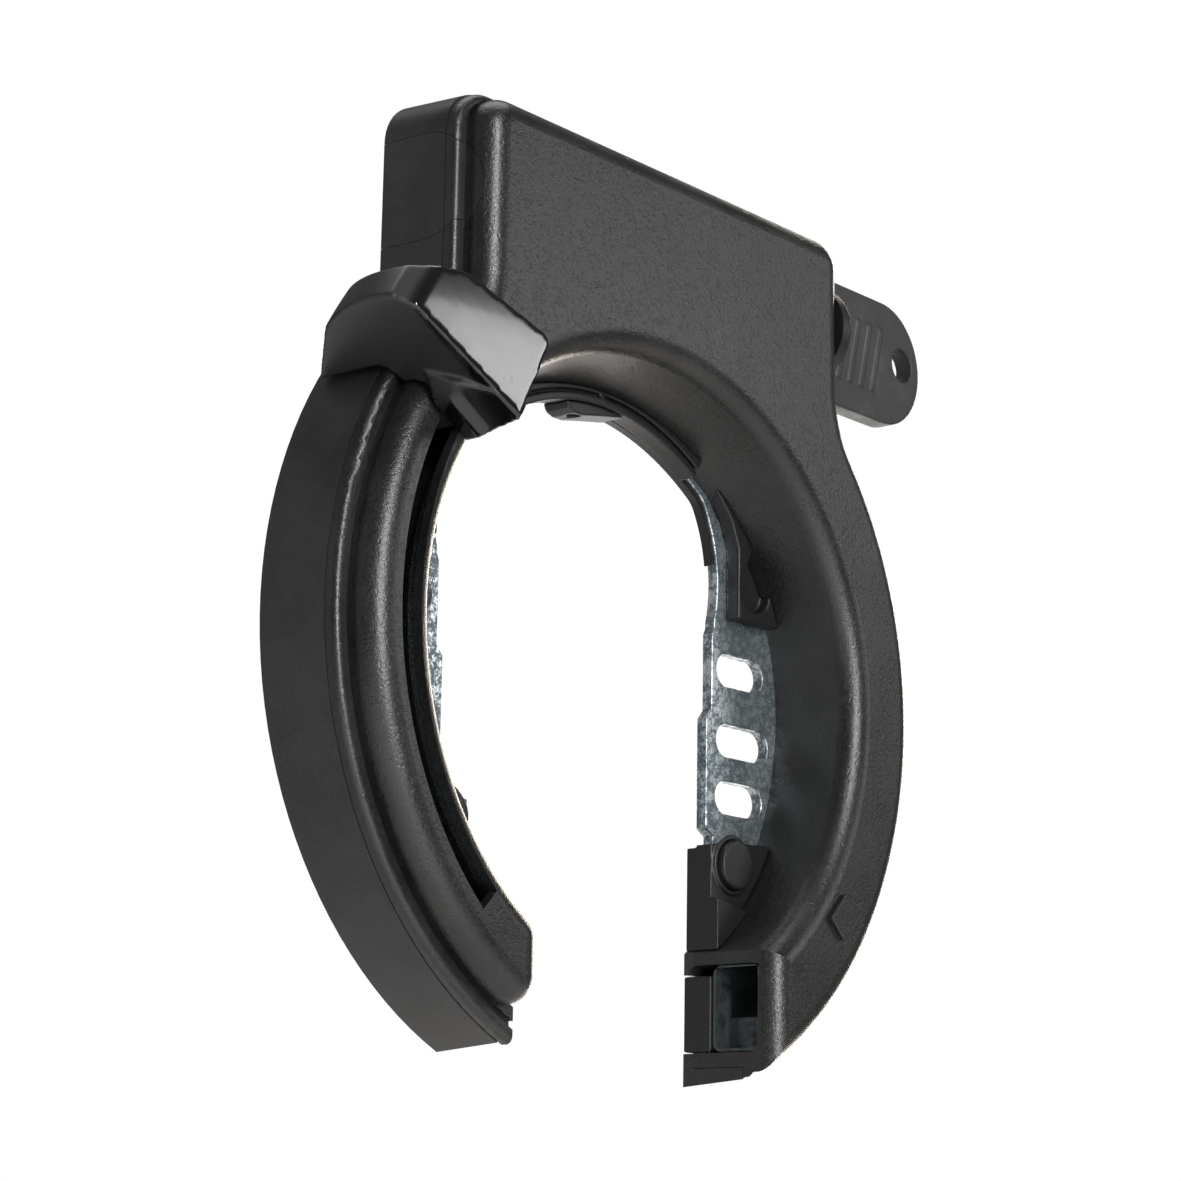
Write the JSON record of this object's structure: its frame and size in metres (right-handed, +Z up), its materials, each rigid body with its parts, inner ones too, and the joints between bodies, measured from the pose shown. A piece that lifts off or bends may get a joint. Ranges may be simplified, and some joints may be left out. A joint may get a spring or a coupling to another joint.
{
  "type": "bicycle ring lock",
  "caption": "Horseshoe-shaped bicycle frame lock with a swinging round bow, thumb lever, key cylinder with key and slotted mounting plate, shown open.",
  "frame": {"origin": "Centre of the ring, on the back plane that lies on the bicycle frame", "axes": "+Z up with the wheel gap opening downwards, -Y is the front of the lock, +X is the side the key goes in"},
  "size_m": [0.1494, 0.0295, 0.1464],
  "materials": {
    "cover_satin": "fine-grained satin black coating",
    "case_plastic": "fine matte dark grey moulding",
    "trim_plastic": "matte black moulding",
    "lever_gloss": "glossy black moulding",
    "key_plastic": "rough matte black moulding",
    "zinc_plate": "mottled zinc plating",
    "bow_steel": "bluish hardened steel",
    "spring_steel": "drawn spring steel",
    "brass_parts": "machined brass",
    "nickel_parts": "nickel plating",
    "buffer_rubber": "black rubber"
  },
  "bodies": {
    "housing": {"arch_pad": "trim_plastic", "backing_plate": "zinc_plate", "blanking_insert": "case_plastic", "bolt_guide": "zinc_plate", "bolt_spring": "spring_steel", "boss_left": "trim_plastic", "boss_right": "trim_plastic", "bow_channel_left": "zinc_plate", "bow_channel_right": "zinc_plate", "cap_buttons": "trim_plastic", "cap_left": "trim_plastic", "cap_right": "trim_plastic", "case_screws": "zinc_plate", "centre_lug": "trim_plastic", "cylinder_housing": "brass_parts", "end_buffer": "buffer_rubber", "front_cover": "cover_satin", "housing_rivets": "zinc_plate", "inner_plate": "trim_plastic", "key_escutcheon": "trim_plastic", "mounting_plate": "zinc_plate", "rear_case": "case_plastic", "return_spring": "spring_steel", "socket_liner": "zinc_plate", "socket_tongue": "trim_plastic", "spring_anchor": "zinc_plate"},
    "bow": {"bow": "bow_steel", "lever_stem": "bow_steel", "lever": "lever_gloss", "lever_pin": "spring_steel"},
    "plug": {"cylinder_plug": "brass_parts", "wafers": "brass_parts", "retaining_clip": "spring_steel", "cam": "zinc_plate"},
    "key": {"key_blade": "nickel_parts", "key_head": "key_plastic"},
    "bolt": {"lock_bolt": "bow_steel"}
  },
  "joints": [
    {"name": "bow_swing", "type": "hinge", "parent": "housing", "child": "bow", "pos_m": [0, 0, 0], "axis": [0, -1, 0], "range_deg": [0, 75.5], "deforming": ["return_spring"]},
    {"name": "key_turn", "type": "hinge", "parent": "housing", "child": "plug", "pos_m": [0.03, -0.0103, 0.0665], "axis": [1, 0, 0], "range_deg": [0, 90]},
    {"name": "key_pull", "type": "slide", "parent": "plug", "child": "key", "axis": [1, 0, 0], "range_m": [0, 0.03]},
    {"name": "bolt_slide", "type": "slide", "parent": "housing", "child": "bolt", "axis": [0, 0, 1], "range_m": [-0.00341, 0], "deforming": ["bolt_spring"]}
  ],
  "couplings": [
    {"joint": "bolt_slide", "follows": "key_turn", "m_per_rad": -0.0021645}
  ]
}
